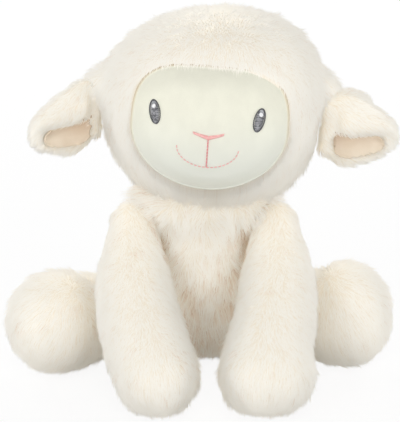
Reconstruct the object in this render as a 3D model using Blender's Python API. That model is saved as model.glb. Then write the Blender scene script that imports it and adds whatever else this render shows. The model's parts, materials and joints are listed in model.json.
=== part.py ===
"""Sitting plush sheep: long-pile covers over soft stuffing, with a smooth face let into the head.

Metres, +Z up. The origin is the middle of the flat seat that the sheep sits on, and it faces -Y.
Left and right are as the viewer sees them, so left is -X. Every outer form is drawn at the mean
height of its pile, so a cover is the backing cloth and the pile together.
"""
import math

import bmesh
import bpy
from mathutils import Matrix, Vector

MM = 0.001

# Fits between pieces
SEWN_GAP = 0.3 * MM        # between pieces that are sewn or pressed together
TURNING_GAP = 0.8 * MM     # round the soft ends that turn in a socket
BALL_TRIM = 0.5 * MM       # taken off a limb's ball where it lies inside the torso
SEAT_FLAT = 0.5 * MM       # how deep a form is pressed flat where it rests on the ground

# Cloth
COVER_THICK = 8 * MM       # backing and mean pile
VELOUR_THICK = 1.8 * MM    # smooth cloth of the face and of the ear linings
STITCH_THICK = 0.9 * MM    # height of satin stitches over the cloth

# Torso: a pear that sits on its wide end
TORSO_HEIGHT = 119 * MM
SEAT_HALF_WIDTH = 68 * MM
SEAT_HALF_DEPTH = 58 * MM
WAIST_IN = 5 * MM          # how far its sides pull in between seat and shoulders
SHOULDER_HALF_WIDTH = 50 * MM
SHOULDER_HALF_DEPTH = 38 * MM
NECK_FORWARD = 9 * MM      # how far the neck lies in front of the seat's middle
TORSO_BLUNTNESS = (2.6, 3.2)   # of the seat and of the shoulders: 2 is an ellipse, more is squarer

# Neck: a ball of stuffing that the head turns and nods on
NECK_X = 1 * MM
NECK_STAND = 3 * MM        # how far the neck's middle lies above the torso
NECK_RADIUS = 24 * MM
THREAD_RADIUS = 0.9 * MM
THREAD_DROP = 7 * MM       # how far the closing thread lies below the ball's middle

# Head
HEAD_HALF_WIDTH = 77 * MM
HEAD_HALF_DEPTH = 62 * MM
HEAD_HALF_HEIGHT = 66 * MM
HEAD_SINK = 3 * MM         # how far the head sinks over the neck's middle
HEAD_FORWARD = 5 * MM
HEAD_ROLL = math.radians(4)
HEAD_TURN = math.radians(-2)
HEAD_BLUNTNESS = (2.4, 2.15)   # of the cheeks and of the crown
CROWN_LEAN = 9 * MM        # how far the crown lies to the right

# Face panel, let into the front of the head
FACE_HALF_WIDTH = 62 * MM
FACE_HALF_DEPTH = 44 * MM
FACE_HALF_HEIGHT = 53 * MM
FACE_FORWARD = 24 * MM     # from the head's middle to the middle of the face's curve
FACE_DROP = 6 * MM
OPENING_HALF_WIDTH = 52 * MM
OPENING_HALF_HEIGHT = 42 * MM
OPENING_SQUARENESS = 2.4

# Embroidery, measured on the face from its middle
EYE_ACROSS = {"left": 35.7 * MM, "right": 31.8 * MM}
EYE_UP = 11 * MM
EYE_HALF_WIDTH = 4.3 * MM
EYE_HALF_HEIGHT = 8 * MM
EYE_LEAN = math.radians(10)
HIGHLIGHT_RADIUS = 1.3 * MM
HIGHLIGHT_UP = 3.4 * MM
NOSE_HALF_WIDTH = 10.2 * MM
NOSE_UP = 4 * MM
NOSE_DEPTH = 3.8 * MM
NOSE_BEND_POWER = 1.4      # 1 is a plain V, more rounds its foot
NOSE_THREAD = 1.0 * MM
LIP_LENGTH = 20 * MM
SMILE_HALF_WIDTH = 20 * MM
SMILE_RISE = 13.5 * MM
MOUTH_THREAD = 0.6 * MM

# Ears: cupped leaves that hang out sideways from a sewn root, their upper half folded over a lined pocket
EAR_STAND = 0.5 * MM       # from the head's side to the middle of the ear's root
EAR_ROOT_UP = {"left": -11 * MM, "right": -12 * MM}
EAR_ROOT_BACK = 0 * MM
EAR_LENGTH = 50.5 * MM
EAR_HALF_HEIGHT = 29 * MM
EAR_HALF_THICK = 8 * MM
EAR_CUP = 9 * MM           # how far the long edges come forward
EAR_DROOP = {"left": math.radians(16), "right": 0}
EAR_SET_FORWARD = {"left": math.radians(30), "right": math.radians(5)}   # how far each faces forward
EAR_HINGE_RADIUS = 6 * MM
EAR_HINGE_HALF_LENGTH = 20 * MM
POCKET_DEPTH = 6 * MM
POCKET_DROP = 6 * MM       # how far the pocket's middle lies below the ear's
POCKET_SHARES = (0.7, 0.42, 0.4)   # of the ear's length and height, and of the rest of its length before it
FOLD_RISE = 7 * MM         # how far the fold's middle lies above the ear's
FOLD_FORWARD = 6.5 * MM
FOLD_HALF_THICK = 5.5 * MM
FOLD_SHARES = (0.82, 0.38, 0.7)
EAR_ROOT_SHARE = 0.94      # height at the root, as a share of the widest
EAR_WIDEST_SHARE = 0.3     # where the ear is widest, along its length
EAR_TAPER_SHARE = 0.5      # how much it narrows from there to its tip
EAR_BLUNTNESS = (4.5, 2.8)

# Arms: front legs that reach forward to the ground
SHOULDER_IN = 3 * MM       # how far the shoulder lies inside the torso's side
SHOULDER_Y = -23 * MM
SHOULDER_DROP = 19 * MM    # how far it lies below the torso's top
ARM_BALL_RADIUS = 22 * MM
ARM_PAW_X = {"left": 30 * MM, "right": 36 * MM}
ARM_PAW_Y = -124 * MM
ARM_RADIUS = 30.5 * MM
ARM_TIP = 26 * MM
ARM_BOW = 7 * MM

# Legs: hind legs that lie on the ground and splay out
HIP_IN = 15 * MM           # how far the hip lies inside the seat's side
HIP_Y = -6 * MM
LEG_BALL_RADIUS = 24 * MM
LEG_FOOT_X = {"left": 102.5 * MM, "right": 99 * MM}
LEG_FOOT_Y = {"left": -42 * MM, "right": -30 * MM}
LEG_RADIUS = 35.5 * MM
LEG_TIP = 32 * MM

# Tail
TAIL_IN = 1 * MM           # how far the tail's root lies inside the seat's back
TAIL_ROOT_Z = 40 * MM
TAIL_BALL_RADIUS = 11 * MM
TAIL_LENGTH = 20 * MM
TAIL_RADIUS = 16 * MM
TAIL_TIP = 13 * MM
TAIL_FALL = math.radians(35)

# Pellet bag that weighs the seat down
BAG_HALF_WIDTH = 34 * MM
BAG_HALF_DEPTH = 28 * MM
BAG_HEIGHT = 20 * MM

# Swelling of each limb: share of its length, share of the way from its ball's radius to its full radius
ARM_SHARES = ((0.0, 0.0), (0.2, 0.35), (0.5, 0.75), (0.8, 1.0), (1.0, 0.9))
LEG_SHARES = ((0.0, 0.0), (0.35, 0.55), (0.75, 0.97), (1.0, 1.0))
TAIL_SHARES = ((0.0, 0.0), (0.5, 0.8), (1.0, 1.0))

# Sides, and rings to a quarter turn, of the forms
LIMB_DETAIL = (16, 5)
SOCKET_DETAIL = (16, 5)
FINE = (20, 6)
COARSE = (12, 3)
HEAD_DETAIL = (24, 7)
FACE_DETAIL = (24, 7)
EAR_DETAIL = (12, 4)
OPENING_SIDES = 40
PATCH_SIDES = 16
TAIL_DETAIL = (12, 4)
THREAD_SIDES = 6
STITCHES = 8               # straight lengths in each half of the smile, and in the whole nose and lip
CREASE_ANGLE = math.radians(50)

SIDES = (("left", -1), ("right", 1))


def clear_scene():
    for item in list(bpy.data.objects):
        bpy.data.objects.remove(item, do_unlink=True)


def material(name, colour, roughness):
    finish = bpy.data.materials.new(name)
    finish.use_nodes = True
    shader = finish.node_tree.nodes["Principled BSDF"]
    shader.inputs["Base Color"].default_value = (*colour, 1)
    shader.inputs["Roughness"].default_value = roughness
    shader.inputs["Metallic"].default_value = 0
    finish.diffuse_color = (*colour, 1)
    return finish


def empty(name, place, parent=None, rotation=(0, 0, 0)):
    pivot = bpy.data.objects.new(name, None)
    pivot.location = place
    pivot.rotation_euler = rotation
    pivot.parent = parent
    bpy.context.scene.collection.objects.link(pivot)
    return pivot


def make_object(name, bm, finish=None, parent=None, place=(0, 0, 0)):
    mesh = bpy.data.meshes.new(name)
    bmesh.ops.recalc_face_normals(bm, faces=bm.faces)
    bm.to_mesh(mesh)
    bm.free()
    mesh.shade_smooth()
    mesh.set_sharp_from_angle(angle=CREASE_ANGLE)
    item = bpy.data.objects.new(name, mesh)
    item.parent = parent
    item.location = place
    bpy.context.scene.collection.objects.link(item)
    if finish:
        mesh.materials.append(finish)
    else:
        item.hide_render = True
        item.display_type = "WIRE"
    return item


def boolean(item, operation, tool):
    step = item.modifiers.new(f"{operation.lower()} {tool.name}", "BOOLEAN")
    step.operation = operation
    step.solver = "EXACT"
    step.object = tool


def cut(item, *tools):
    for tool in tools:
        boolean(item, "DIFFERENCE", tool)


def smooth_share(shares, along):
    """Radius share at a place along a limb, eased between the given stations."""
    for (start, low), (end, high) in zip(shares, shares[1:]):
        if along <= end:
            ease = (along - start) / (end - start)
            ease = ease * ease * (3 - 2 * ease)
            return low + (high - low) * ease
    return shares[-1][1]


def loft(bm, rings, sides, first_pole, last_pole):
    """Skins closed rings of vertices, given as (middle, wide vector, deep vector), and closes both ends."""
    loops = []
    for middle, wide, deep in rings:
        turn = [2 * math.pi * side / sides for side in range(sides)]
        loops.append([bm.verts.new(middle + wide * math.cos(a) + deep * math.sin(a)) for a in turn])
    for low, high in zip(loops, loops[1:]):
        for side in range(sides):
            after = (side + 1) % sides
            bm.faces.new((low[side], low[after], high[after], high[side]))
    for loop, pole in ((loops[0], first_pole), (loops[-1], last_pole)):
        tip = bm.verts.new(pole)
        for side in range(sides):
            bm.faces.new((loop[side], loop[(side + 1) % sides], tip))


def shrink(bm, inset):
    """Moves a closed form's surface inwards by the inset."""
    bmesh.ops.recalc_face_normals(bm, faces=bm.faces)
    bm.normal_update()
    moves = [(vertex, vertex.normal * inset) for vertex in bm.verts]
    for vertex, move in moves:
        vertex.co -= move


def limb_form(limb, detail=LIMB_DETAIL, inset=0):
    """A limb from a ball round its joint, at the origin, to a rounded tip beyond its reach."""
    reach, bow, ball_radius, full_radius, tip, shares = limb
    sides, steps = detail
    length = reach.length
    forward = reach.normalized()
    wide = Vector((0, 0, 1)).cross(forward).normalized()
    deep = forward.cross(wide)
    rings = []
    for step in range(1, steps):
        polar = math.pi / 2 * step / steps
        radius = ball_radius * math.sin(polar)
        rings.append((-forward * ball_radius * math.cos(polar), wide * radius, deep * radius))
    for step in range(steps + 1):
        along = step / steps
        radius = ball_radius + (full_radius - ball_radius) * smooth_share(shares, along)
        middle = forward * length * along + bow * math.sin(math.pi * along)
        rings.append((middle, wide * radius, deep * radius))
    end_radius = ball_radius + (full_radius - ball_radius) * shares[-1][1]
    for step in range(1, steps):
        polar = math.pi / 2 * step / steps
        radius = end_radius * math.cos(polar)
        rings.append((reach + forward * tip * math.sin(polar), wide * radius, deep * radius))
    bm = bmesh.new()
    loft(bm, rings, sides, -forward * ball_radius, reach + forward * tip)
    if inset:
        shrink(bm, inset)
    return bm


def stations(steps, bluntness):
    """Places along a form from end to end, closer at its ends, with how full it is at each."""
    first_half, last_half = bluntness
    for step in range(1, 2 * steps):
        along = (1 - math.cos(math.pi * step / (2 * steps))) / 2
        power = first_half if step < steps else last_half
        yield along, (1 - abs(2 * along - 1) ** power) ** (1 / power)


def torso_form(detail=FINE, inset=0):
    """A pear of oval rings, wide at the seat and narrow at the neck."""
    sides, steps = detail
    rings = []
    for along, round_off in stations(steps, TORSO_BLUNTNESS):
        ease = along * along * (3 - 2 * along)
        waist = WAIST_IN * math.sin(math.pi * along) ** 2
        wide = (SEAT_HALF_WIDTH + (SHOULDER_HALF_WIDTH - SEAT_HALF_WIDTH) * ease - waist) * round_off
        deep = (SEAT_HALF_DEPTH + (SHOULDER_HALF_DEPTH - SEAT_HALF_DEPTH) * ease) * round_off
        middle = Vector((0, -NECK_FORWARD * along, TORSO_HEIGHT * along - SEAT_FLAT))
        rings.append((middle, Vector((wide, 0, 0)), Vector((0, deep, 0))))
    bm = bmesh.new()
    top = Vector((0, -NECK_FORWARD, TORSO_HEIGHT - SEAT_FLAT))
    loft(bm, rings, sides, Vector((0, 0, -SEAT_FLAT)), top)
    if inset:
        shrink(bm, inset)
    return bm


def head_form(detail, inset=0):
    """A full round head, a little squarer than an ellipsoid from cheek to crown."""
    sides, steps = detail
    rings = []
    for along, round_off in stations(steps, HEAD_BLUNTNESS):
        lean = CROWN_LEAN * max(2 * along - 1, 0) ** 2
        middle = Vector((lean, 0, HEAD_HALF_HEIGHT * (2 * along - 1)))
        wide = Vector((HEAD_HALF_WIDTH * round_off, 0, 0))
        rings.append((middle, wide, Vector((0, HEAD_HALF_DEPTH * round_off, 0))))
    bm = bmesh.new()
    loft(bm, rings, sides, Vector((0, 0, -HEAD_HALF_HEIGHT)), Vector((CROWN_LEAN, 0, HEAD_HALF_HEIGHT)))
    if inset:
        shrink(bm, inset)
    return bm


def ball(radii, detail=SOCKET_DETAIL, middle=Vector(), turn=Matrix.Identity(4)):
    """An ellipsoid with the given half sizes."""
    sides, steps = detail
    bm = bmesh.new()
    place = Matrix.Translation(middle) @ turn @ Matrix.Diagonal((*radii, 1))
    bmesh.ops.create_uvsphere(bm, u_segments=sides, v_segments=2 * steps, radius=1, matrix=place)
    return bm


def block(name, low, high, parent=None):
    bm = bmesh.new()
    size = [b - a for a, b in zip(low, high)]
    middle = [(a + b) / 2 for a, b in zip(low, high)]
    place = Matrix.Translation(middle) @ Matrix.Diagonal((*size, 1))
    bmesh.ops.create_cube(bm, size=1, matrix=place)
    return make_object(name, bm, parent=parent)


def oval_prism(
    name, half_width, half_height, front, back, parent, middle=(0, 0), lean=0, power=2, sides=PATCH_SIDES,
):
    """A rounded outline in X and Z, extruded along Y from front to back."""
    bm = bmesh.new()
    loops = []
    for depth in (front, back):
        loop = []
        for side in range(sides):
            angle = 2 * math.pi * side / sides
            across = half_width * math.copysign(abs(math.cos(angle)) ** (2 / power), math.cos(angle))
            up = half_height * math.copysign(abs(math.sin(angle)) ** (2 / power), math.sin(angle))
            x = middle[0] + across * math.cos(lean) - up * math.sin(lean)
            z = middle[1] + across * math.sin(lean) + up * math.cos(lean)
            loop.append(bm.verts.new((x, depth, z)))
        loops.append(loop)
    for side in range(sides):
        after = (side + 1) % sides
        bm.faces.new((loops[0][side], loops[0][after], loops[1][after], loops[1][side]))
    bm.faces.new(loops[0])
    bm.faces.new(loops[1])
    return make_object(name, bm, parent=parent)


def ground_tool():
    """The ground, which presses every form that rests on it flat."""
    reach = 4 * TORSO_HEIGHT
    return block("ground_tool", (-reach, -reach, -reach), (reach, reach, 0))


def build_torso(finishes, ground):
    cover = make_object("torso_cover", torso_form(), finishes["plush"])
    hollow = make_object("torso_hollow_tool", torso_form(COARSE, COVER_THICK))
    filling = torso_form(COARSE, COVER_THICK + SEWN_GAP)
    stuffing = make_object("torso_stuffing", filling, finishes["fibre"])
    bag_middle = Vector((0, 0, COVER_THICK))
    bag_sizes = Vector((BAG_HALF_WIDTH, BAG_HALF_DEPTH, BAG_HEIGHT))
    room_sizes = bag_sizes + Vector((SEWN_GAP, SEWN_GAP, SEWN_GAP))
    bag_tool = make_object("bag_tool", ball(bag_sizes, COARSE, bag_middle))
    room_tool = make_object("bag_room_tool", ball(room_sizes, COARSE, bag_middle))
    bag_form = torso_form(COARSE, COVER_THICK + SEWN_GAP)
    bag = make_object("seat_pellet_bag", bag_form, finishes["bag"])
    boolean(bag, "INTERSECT", bag_tool)
    cut(cover, hollow, ground)
    cut(stuffing, room_tool)
    return cover, stuffing


def neck_ring(radius):
    """A ring of thread that lies round the neck's ball, at the edge of its socket."""
    ring_reach = NECK_RADIUS + TURNING_GAP + THREAD_RADIUS
    ring_radius = math.sqrt(ring_reach ** 2 - THREAD_DROP ** 2)
    sides = 2 * COARSE[0]
    rings = []
    bm = bmesh.new()
    for side in range(sides):
        angle = 2 * math.pi * side / sides
        outward = Vector((math.cos(angle), math.sin(angle), 0))
        ring = [
            bm.verts.new(
                outward * (ring_radius + radius * math.cos(turn))
                + Vector((0, 0, radius * math.sin(turn) - THREAD_DROP))
            )
            for turn in (2 * math.pi * step / THREAD_SIDES for step in range(THREAD_SIDES))
        ]
        rings.append(ring)
    for ring, after in zip(rings, rings[1:] + rings[:1]):
        for step in range(THREAD_SIDES):
            low, high = step, (step + 1) % THREAD_SIDES
            bm.faces.new((ring[low], after[low], after[high], ring[high]))
    return bm


def build_neck(finishes, torso_pieces, pivot):
    socket_form = ball([NECK_RADIUS + TURNING_GAP] * 3)
    socket = make_object("neck_socket_tool", socket_form, parent=pivot)
    cut(torso_pieces[0], socket)
    cut(torso_pieces[1], socket)
    make_object("neck_stuffing", ball([NECK_RADIUS] * 3), finishes["fibre"], pivot)
    groove = make_object("neck_thread_groove_tool", neck_ring(THREAD_RADIUS + SEWN_GAP), parent=pivot)
    cut(torso_pieces[0], groove)
    make_object("neck_closing_thread", neck_ring(THREAD_RADIUS), finishes["thread"], pivot)
    return socket


def face_point(across, up, lift):
    """A point on the face's curve, raised by the lift, from the middle of that curve."""
    x_share = across / (FACE_HALF_WIDTH + lift)
    z_share = up / (FACE_HALF_HEIGHT + lift)
    depth = (FACE_HALF_DEPTH + lift) * math.sqrt(1 - x_share ** 2 - z_share ** 2)
    return Vector((across, -depth, up))


def face_form(lift):
    bm = ball((FACE_HALF_WIDTH, FACE_HALF_DEPTH, FACE_HALF_HEIGHT), FACE_DETAIL)
    shrink(bm, -lift)
    return bm


def satin_patch(name, half_width, half_height, place, lean, base, finish, face):
    """A patch of satin stitches that follows the face, from its base height up."""
    patch = make_object(name, face_form(base + STITCH_THICK), finish, face)
    front = -2 * FACE_HALF_DEPTH
    outline = oval_prism(f"{name}_tool", half_width, half_height, front, 0, face, place, lean)
    under = make_object(f"{name}_base_tool", face_form(base), parent=face)
    boolean(patch, "INTERSECT", outline)
    cut(patch, under)
    return patch


def thread_form(points, radius):
    """A round thread laid along points on the face."""
    bm = bmesh.new()
    rings = []
    for index, point in enumerate(points):
        ahead = points[min(index + 1, len(points) - 1)] - points[max(index - 1, 0)]
        ahead.normalize()
        out = point.normalized()
        wide = ahead.cross(out).normalized()
        rings.append((point, wide * radius, wide.cross(ahead) * radius))
    loft(bm, rings, THREAD_SIDES, points[0], points[-1])
    return bm


def build_face(finishes, head):
    face = empty("face_middle", (0, -FACE_FORWARD, -FACE_DROP), head)
    panel = make_object("face_panel", face_form(0), finishes["velour"], face)
    front = -2 * FACE_HALF_DEPTH
    edge = oval_prism(
        "face_edge_tool", OPENING_HALF_WIDTH - SEWN_GAP, OPENING_HALF_HEIGHT - SEWN_GAP, front, 0, face,
        power=OPENING_SQUARENESS, sides=OPENING_SIDES,
    )
    behind = make_object("face_hollow_tool", face_form(-VELOUR_THICK), parent=face)
    boolean(panel, "INTERSECT", edge)
    cut(panel, behind)
    filling = make_object("face_filling_tool", face_form(-VELOUR_THICK - SEWN_GAP), parent=face)
    boolean(filling, "INTERSECT", edge)
    for side, sign in SIDES:
        place = (sign * EYE_ACROSS[side], EYE_UP)
        lean = -sign * EYE_LEAN
        satin_patch(
            f"eye_{side}", EYE_HALF_WIDTH, EYE_HALF_HEIGHT, place, lean, SEWN_GAP, finishes["eye"], face
        )
        shine = (place[0] + HIGHLIGHT_UP * math.sin(sign * EYE_LEAN), EYE_UP + HIGHLIGHT_UP)
        shine_base = 2 * SEWN_GAP + STITCH_THICK
        satin_patch(
            f"eye_{side}_highlight", HIGHLIGHT_RADIUS, HIGHLIGHT_RADIUS, shine, 0, shine_base,
            finishes["highlight"], face,
        )
    nose = []
    for step in range(STITCHES + 1):
        share = 2 * step / STITCHES - 1
        up = NOSE_UP + NOSE_DEPTH * (abs(share) ** NOSE_BEND_POWER - 1)
        nose.append(face_point(NOSE_HALF_WIDTH * share, up, NOSE_THREAD + SEWN_GAP))
    make_object("nose_stitches", thread_form(nose, NOSE_THREAD), finishes["pink"], face)
    lift = MOUTH_THREAD + SEWN_GAP
    lip_top = NOSE_UP - NOSE_DEPTH - NOSE_THREAD - MOUTH_THREAD - SEWN_GAP
    lip = [face_point(0, lip_top - LIP_LENGTH * step / STITCHES, lift) for step in range(STITCHES + 1)]
    smile = []
    for step in range(-STITCHES, STITCHES + 1):
        share = step / STITCHES
        smile.append(face_point(
            SMILE_HALF_WIDTH * math.sin(share * math.pi / 2),
            lip_top - LIP_LENGTH + SMILE_RISE * (1 - math.cos(share * math.pi / 2)),
            lift,
        ))
    mouth = make_object("mouth_stitches", thread_form(smile, MOUTH_THREAD), finishes["pink"], face)
    lip_tool = make_object("lip_tool", thread_form(lip, MOUTH_THREAD), parent=face)
    boolean(mouth, "UNION", lip_tool)
    return filling


def ear_form(
    side, sign, shares=(1, 1, 0), half_thick=EAR_HALF_THICK, forward=0, rise=0, inset=0, detail=LIMB_DETAIL,
):
    """A cupped leaf that starts at its hinge, the origin. The shares make a smaller leaf further out."""
    sides, steps = detail
    rings = []
    length_share, height_share, start_share = shares
    length = EAR_LENGTH * length_share
    start = EAR_LENGTH * (1 - length_share) * start_share
    for along, round_off in stations(steps, EAR_BLUNTNESS):
        swell = math.sin(math.pi / 2 * min(along / EAR_WIDEST_SHARE, 1))
        widen = EAR_ROOT_SHARE + (1 - EAR_ROOT_SHARE) * swell
        narrow = 1 - EAR_TAPER_SHARE * max(along - EAR_WIDEST_SHARE, 0) / (1 - EAR_WIDEST_SHARE)
        high = EAR_HALF_HEIGHT * height_share * round_off * widen * narrow
        middle = Vector((sign * (start + length * along), 0, rise))
        rings.append((middle, Vector((0, 0, high)), Vector((0, half_thick * round_off, 0))))
    bm = bmesh.new()
    loft(bm, rings, sides, Vector((sign * start, 0, rise)), Vector((sign * (start + length), 0, rise)))
    if inset:
        shrink(bm, inset)
    fall = math.tan(EAR_DROOP[side])
    for vertex in bm.verts:
        edge_share = (vertex.co.z / EAR_HALF_HEIGHT) ** 2
        out_share = abs(vertex.co.x) / EAR_LENGTH
        vertex.co.y -= EAR_CUP * edge_share * out_share + forward
        vertex.co.z -= abs(vertex.co.x) * fall
    return bm


def build_ear(side, sign, finishes, head):
    """One ear on its hinge, and the groove that its root lies in."""
    place = (sign * (HEAD_HALF_WIDTH + EAR_STAND), EAR_ROOT_BACK, EAR_ROOT_UP[side])
    hinge = empty(f"ear_{side}_hinge", place, head)
    turned = empty(f"ear_{side}_set", (0, 0, 0), hinge, (0, 0, -sign * EAR_SET_FORWARD[side]))
    cover = make_object(f"ear_{side}_cover", ear_form(side, sign), finishes["plush"], turned)
    sides = 2 * COARSE[0]
    root = bmesh.new()
    bmesh.ops.create_cone(
        root, cap_ends=True, segments=sides, radius1=EAR_HINGE_RADIUS, radius2=EAR_HINGE_RADIUS,
        depth=2 * EAR_HINGE_HALF_LENGTH,
    )
    root_tool = make_object(f"ear_{side}_root_tool", root, parent=hinge)
    groove = bmesh.new()
    wide = EAR_HINGE_RADIUS + TURNING_GAP
    bmesh.ops.create_cone(
        groove, cap_ends=True, segments=sides, radius1=wide, radius2=wide,
        depth=2 * (EAR_HINGE_HALF_LENGTH + TURNING_GAP),
    )
    groove_tool = make_object(f"ear_{side}_groove_tool", groove, parent=hinge)

    def pocket_form(forward, inset=0):
        drop = -POCKET_DROP
        return ear_form(side, sign, POCKET_SHARES, POCKET_DEPTH, forward, drop, inset, EAR_DETAIL)

    def fold_form(inset=0):
        half_thick, forward = FOLD_HALF_THICK, FOLD_FORWARD
        return ear_form(side, sign, FOLD_SHARES, half_thick, forward, FOLD_RISE, inset, EAR_DETAIL)

    pocket = make_object(f"ear_{side}_pocket_tool", pocket_form(EAR_HALF_THICK), parent=turned)
    fold = make_object(f"ear_{side}_fold_tool", fold_form(), parent=turned)
    boolean(cover, "UNION", root_tool)
    cut(cover, pocket)
    boolean(cover, "UNION", fold)
    lining_form = pocket_form(EAR_HALF_THICK, SEWN_GAP)
    lining = make_object(f"ear_{side}_lining", lining_form, finishes["velour"], turned)
    front_form = pocket_form(EAR_HALF_THICK + VELOUR_THICK, SEWN_GAP)
    front = make_object(f"ear_{side}_front_tool", front_form, parent=turned)
    under_fold = make_object(f"ear_{side}_fold_gap_tool", fold_form(-SEWN_GAP), parent=turned)
    cut(lining, front, under_fold)
    return groove_tool


def build_head(finishes, pivot, neck_socket):
    tilt = empty("head_tilt", (0, 0, 0), pivot, (0, HEAD_ROLL, 0))
    rise = HEAD_HALF_HEIGHT - HEAD_SINK
    head = empty("head_middle", (0, -HEAD_FORWARD, rise), tilt, (0, 0, HEAD_TURN))
    cover = make_object("head_cover", head_form(HEAD_DETAIL), finishes["plush"], head)
    hollow = make_object("head_hollow_tool", head_form(COARSE, COVER_THICK), parent=head)
    opening = oval_prism(
        "face_opening_tool", OPENING_HALF_WIDTH, OPENING_HALF_HEIGHT, -2 * HEAD_HALF_DEPTH, 0, head,
        (0, -FACE_DROP), power=OPENING_SQUARENESS, sides=OPENING_SIDES,
    )
    filling = build_face(finishes, head)
    stuffing_form = head_form(COARSE, COVER_THICK + SEWN_GAP)
    stuffing = make_object("head_stuffing", stuffing_form, finishes["fibre"], head)
    grooves = [build_ear(side, sign, finishes, head) for side, sign in SIDES]
    cut(cover, hollow, opening, neck_socket, *grooves)
    boolean(stuffing, "UNION", filling)
    cut(stuffing, neck_socket)


def belly_tool(name, grown, kept_radius, pivot, turn, detail=FINE):
    """The torso grown by a gap, without the ball that a limb turns on."""
    belly = make_object(name, torso_form(detail, -grown))
    kept = make_object(f"{name}_kept", ball([kept_radius] * 3, detail, turn=turn), parent=pivot)
    cut(belly, kept)
    return belly


def build_limb(name, limb, sign, place, finishes, torso_pieces, ground, turn):
    """A stuffed limb whose ball turns in a socket of the torso, and which the torso's belly cuts."""
    ball_radius = limb[2]
    pivot = empty(f"{name}_joint", place)
    cover = make_object(f"{name}_cover", limb_form(limb), finishes["plush"], pivot)
    hollow = make_object(f"{name}_hollow_tool", limb_form(limb, COARSE, COVER_THICK), parent=pivot)
    filling = limb_form(limb, COARSE, COVER_THICK + SEWN_GAP)
    stuffing = make_object(f"{name}_stuffing", filling, finishes["fibre"], pivot)
    ball_kept = ball_radius - BALL_TRIM
    trim = belly_tool(f"{name}_trim_tool", TURNING_GAP, ball_kept, pivot, turn)
    wall = TURNING_GAP + COVER_THICK
    cut(hollow, belly_tool(f"{name}_wall_tool", wall, ball_kept - COVER_THICK, pivot, turn, COARSE))
    wall += SEWN_GAP
    kept = ball_kept - COVER_THICK - SEWN_GAP
    cut(stuffing, belly_tool(f"{name}_filling_tool", wall, kept, pivot, turn, COARSE))
    mouth_form = ball([COVER_THICK + SEWN_GAP] * 3, COARSE, Vector((-sign * ball_kept, 0, 0)))
    mouth = make_object(f"{name}_seam_tool", mouth_form, parent=pivot)
    cut(cover, trim, hollow, mouth, ground)
    socket_form = ball([ball_radius + TURNING_GAP] * 3, turn=turn)
    socket = make_object(f"{name}_socket_tool", socket_form, parent=pivot)
    for piece in torso_pieces:
        cut(piece, socket)


def build_limbs(finishes, torso_pieces, ground):
    for side, sign in SIDES:
        shoulder_x = SHOULDER_HALF_WIDTH - SHOULDER_IN
        shoulder = Vector((sign * shoulder_x, SHOULDER_Y, TORSO_HEIGHT - SHOULDER_DROP))
        paw = Vector((sign * ARM_PAW_X[side], ARM_PAW_Y, ARM_RADIUS - SEAT_FLAT))
        arm = (
            paw - shoulder, Vector((sign * ARM_BOW, 0, 0)), ARM_BALL_RADIUS, ARM_RADIUS, ARM_TIP, ARM_SHARES
        )
        across = Matrix.Rotation(math.pi / 2, 4, "Y")
        build_limb(f"arm_{side}", arm, sign, shoulder, finishes, torso_pieces, ground, across)
        hip = Vector((sign * (SEAT_HALF_WIDTH - HIP_IN), HIP_Y, LEG_RADIUS - SEAT_FLAT))
        foot = Vector((sign * LEG_FOOT_X[side], LEG_FOOT_Y[side], LEG_RADIUS - SEAT_FLAT))
        leg = (foot - hip, Vector(), LEG_BALL_RADIUS, LEG_RADIUS, LEG_TIP, LEG_SHARES)
        upright = Matrix.Identity(4)
        build_limb(f"leg_{side}", leg, sign, hip, finishes, torso_pieces, ground, upright)


def build_tail(finishes, torso_cover):
    root = Vector((0, SEAT_HALF_DEPTH - TAIL_IN, TAIL_ROOT_Z))
    pivot = empty("tail_joint", root)
    reach = Vector((0, TAIL_LENGTH * math.cos(TAIL_FALL), -TAIL_LENGTH * math.sin(TAIL_FALL)))
    tail = (reach, Vector(), TAIL_BALL_RADIUS, TAIL_RADIUS, TAIL_TIP, TAIL_SHARES)
    make_object("tail", limb_form(tail, TAIL_DETAIL), finishes["plush"], pivot)
    socket_form = ball([TAIL_BALL_RADIUS + TURNING_GAP] * 3, COARSE)
    cut(torso_cover, make_object("tail_socket_tool", socket_form, parent=pivot))


def main():
    clear_scene()
    finishes = {
        "plush": material("plush", (0.80, 0.75, 0.66), 0.9),
        "velour": material("velour", (0.80, 0.80, 0.68), 0.75),
        "fibre": material("fibre", (0.85, 0.85, 0.83), 0.95),
        "bag": material("bag", (0.62, 0.60, 0.55), 0.8),
        "thread": material("thread", (0.78, 0.74, 0.64), 0.6),
        "eye": material("eye", (0.09, 0.09, 0.10), 0.55),
        "highlight": material("highlight", (0.85, 0.85, 0.85), 0.5),
        "pink": material("pink", (0.80, 0.42, 0.40), 0.55),
    }
    ground = ground_tool()
    torso_cover, torso_stuffing = build_torso(finishes, ground)
    torso_pieces = (torso_cover, torso_stuffing)
    neck = empty("neck_joint", (NECK_X, -NECK_FORWARD, TORSO_HEIGHT + NECK_STAND))
    neck_socket = build_neck(finishes, torso_pieces, neck)
    build_head(finishes, neck, neck_socket)
    build_limbs(finishes, torso_pieces, ground)
    build_tail(finishes, torso_cover)
    bpy.context.view_layer.update()


main()
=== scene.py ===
"""Sitting plush sheep: stuffed skins with a combed pile, a velour face let into the head, and worked features.

Metres, +Z up. The sheep faces -Y, and left is -X, as the viewer sees it.
"""

import json
import math

import bmesh
import bpy
import numpy as np
from mathutils import Matrix, Vector
from mathutils.bvhtree import BVHTree
from mathutils.kdtree import KDTree

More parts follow.
